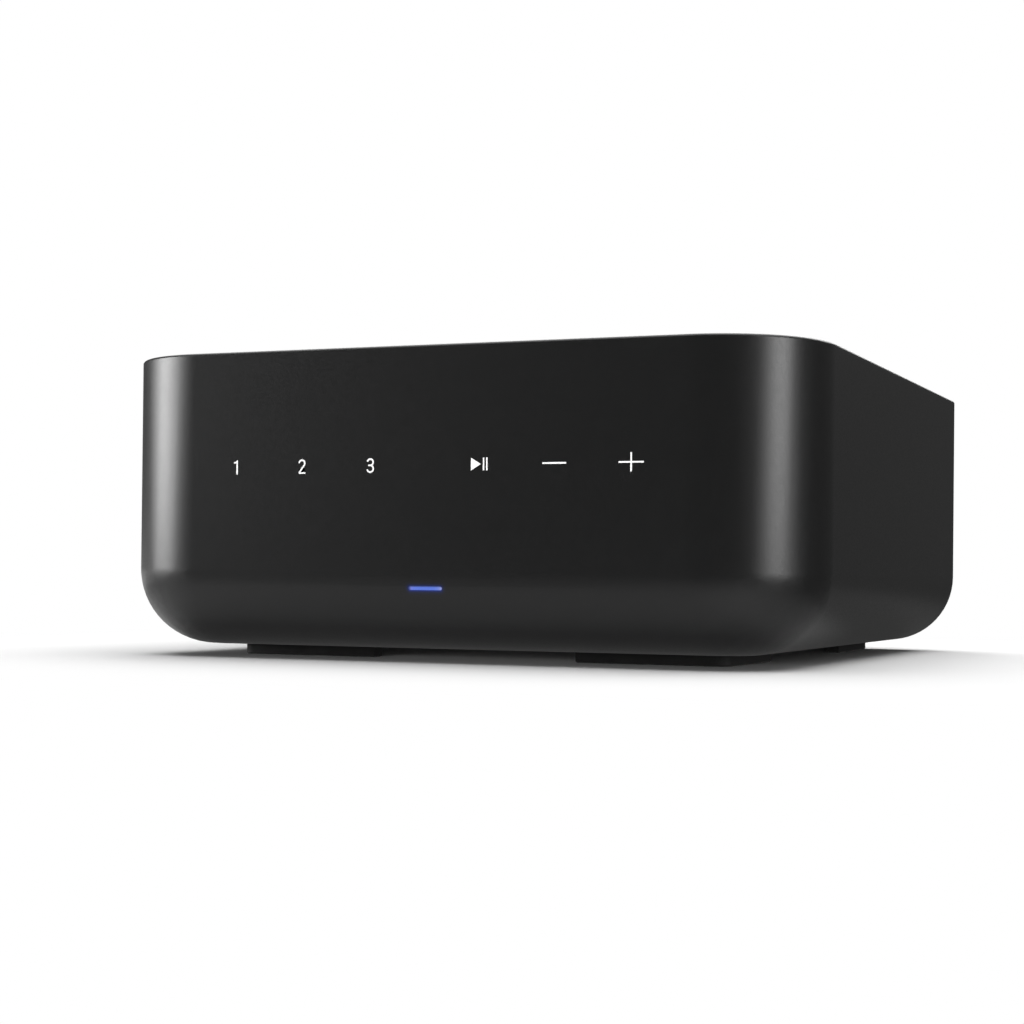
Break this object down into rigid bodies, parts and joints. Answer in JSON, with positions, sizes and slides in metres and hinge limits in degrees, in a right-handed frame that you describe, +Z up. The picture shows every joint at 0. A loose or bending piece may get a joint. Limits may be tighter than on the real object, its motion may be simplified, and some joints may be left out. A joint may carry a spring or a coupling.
{
  "type": "streaming amplifier",
  "caption": "Low black rounded amplifier with touch keys, a small light bar, rear sockets and screw-cap speaker terminals; plays music from a network on loudspeakers.",
  "frame": {"origin": "centre of the overall box, on the surface that the feet stand on", "axes": "+X to the right seen from the front, +Y towards the rear sockets, +Z up"},
  "size_m": [0.217, 0.239, 0.09],
  "materials": {
    "casing": "fine-grained black moulding",
    "panel_paint": "satin black paint",
    "foot_rubber": "dark rubber",
    "light_pipe": "diffusing blue-lit plastic",
    "lamp_white": "moulded lamp package",
    "board_green": "green solder mask",
    "pad_foam": "conductive foam",
    "zinc_steel": "bright zinc-plated steel",
    "spacer_brass": "turned brass",
    "black_steel": "black oxide",
    "ferrite": "dark ground ferrite",
    "winding_tape": "yellow polyester tape",
    "capacitor_sleeve": "shrink sleeve",
    "choke_core": "coated ring core",
    "raw_aluminium": "extruded aluminium",
    "fuse_glass": "clear glass tube",
    "chip_black": "moulded epoxy",
    "tin_plate": "tin-plated sheet",
    "ribbon_grey": "flat flexible cable",
    "wire_red": "insulated wire",
    "lead_black": "thin coaxial lead",
    "insulator": "moulded insulator",
    "gold_plate": "gold-plated brass",
    "cap_red": "red moulded cap",
    "cap_black": "black moulded cap",
    "socket_black": "moulded socket body",
    "nickel": "nickel plate",
    "shutter_grey": "grey moulding",
    "insert_white": "white moulding",
    "button_black": "matte moulding"
  },
  "bodies": {
    "root": {"amplifier_board": "board_green", "amplifier_chips": "chip_black", "antenna_leads": "lead_black", "antennas": "board_green", "board_screws": "zinc_steel", "bulk_capacitors": "capacitor_sleeve", "button_switch": "chip_black", "contact_tongues": "socket_black", "filter_choke": "choke_core", "foot_front_left": "foot_rubber", "foot_front_right": "foot_rubber", "foot_rear_left": "foot_rubber", "foot_rear_right": "foot_rubber", "fuse": "fuse_glass", "hdmi_socket": "nickel", "heat_sink": "raw_aluminium", "housing": "casing", "inlet_blades": "nickel", "lid": "casing", "light_guide": "light_pipe", "main_board": "board_green", "mains_inlet": "socket_black", "network_socket": "socket_black", "optical_socket": "socket_black", "output_coils": "ferrite", "panel_screws": "black_steel", "phono_block": "socket_black", "phono_inserts": "insert_white", "phono_shells": "gold_plate", "power_board": "board_green", "power_cooler": "raw_aluminium", "radio_module": "tin_plate", "rear_panel": "panel_paint", "ribbon_cables": "ribbon_grey", "shield_can": "tin_plate", "short_standoffs": "spacer_brass", "speaker_posts": "gold_plate", "status_light": "lamp_white", "supply_wires": "wire_red", "tall_standoffs": "spacer_brass", "terminal_insulators": "insulator", "terminal_nuts": "nickel", "terminal_tags": "tin_plate", "touch_board": "board_green", "touch_pads": "pad_foam", "transformer_core": "ferrite", "transformer_winding": "winding_tape", "tray": "zinc_steel", "tray_screws": "zinc_steel", "usb_socket": "nickel"},
    "washer_right_plus": {"washer_right_plus": "gold_plate"},
    "cap_right_plus": {"cap_right_plus": "cap_red"},
    "washer_right_minus": {"washer_right_minus": "gold_plate"},
    "cap_right_minus": {"cap_right_minus": "cap_black"},
    "washer_left_plus": {"washer_left_plus": "gold_plate"},
    "cap_left_plus": {"cap_left_plus": "cap_red"},
    "washer_left_minus": {"washer_left_minus": "gold_plate"},
    "cap_left_minus": {"cap_left_minus": "cap_black"},
    "shutter": {"optical_shutter": "shutter_grey"},
    "button": {"pairing_button": "button_black"}
  },
  "joints": [
    {"name": "washer_right_plus_slide", "type": "slide", "parent": "root", "child": "washer_right_plus", "axis": [0, 1, 0], "range_m": [0, 0.0045]},
    {"name": "cap_right_plus_turn", "type": "hinge", "parent": "washer_right_plus", "child": "cap_right_plus", "pos_m": [0.01197, 0.11, 0.033], "axis": [0, 1, 0], "range_deg": [0, 2160]},
    {"name": "washer_right_minus_slide", "type": "slide", "parent": "root", "child": "washer_right_minus", "axis": [0, 1, 0], "range_m": [0, 0.0045]},
    {"name": "cap_right_minus_turn", "type": "hinge", "parent": "washer_right_minus", "child": "cap_right_minus", "pos_m": [0.03103, 0.11, 0.033], "axis": [0, 1, 0], "range_deg": [0, 2160]},
    {"name": "washer_left_plus_slide", "type": "slide", "parent": "root", "child": "washer_left_plus", "axis": [0, 1, 0], "range_m": [0, 0.0045]},
    {"name": "cap_left_plus_turn", "type": "hinge", "parent": "washer_left_plus", "child": "cap_left_plus", "pos_m": [0.05398, 0.11, 0.033], "axis": [0, 1, 0], "range_deg": [0, 2160]},
    {"name": "washer_left_minus_slide", "type": "slide", "parent": "root", "child": "washer_left_minus", "axis": [0, 1, 0], "range_m": [0, 0.0045]},
    {"name": "cap_left_minus_turn", "type": "hinge", "parent": "washer_left_minus", "child": "cap_left_minus", "pos_m": [0.07303, 0.11, 0.033], "axis": [0, 1, 0], "range_deg": [0, 2160]},
    {"name": "shutter_swing", "type": "hinge", "parent": "root", "child": "shutter", "pos_m": [0.034, 0.0978, 0.0614], "axis": [-1, 0, 0], "range_deg": [0, 85], "stiffness_Nm_per_rad": 0.0001, "springref_deg": -28.65},
    {"name": "button_press", "type": "slide", "parent": "root", "child": "button", "axis": [0, -1, 0], "range_m": [0, 0.0005], "stiffness_N_per_m": 600, "springref_m": -0.0005}
  ],
  "couplings": [
    {"joint": "cap_right_plus_turn", "follows": "washer_right_plus_slide", "rad_per_m": 8377.6},
    {"joint": "cap_right_minus_turn", "follows": "washer_right_minus_slide", "rad_per_m": 8377.6},
    {"joint": "cap_left_plus_turn", "follows": "washer_left_plus_slide", "rad_per_m": 8377.6},
    {"joint": "cap_left_minus_turn", "follows": "washer_left_minus_slide", "rad_per_m": 8377.6}
  ]
}
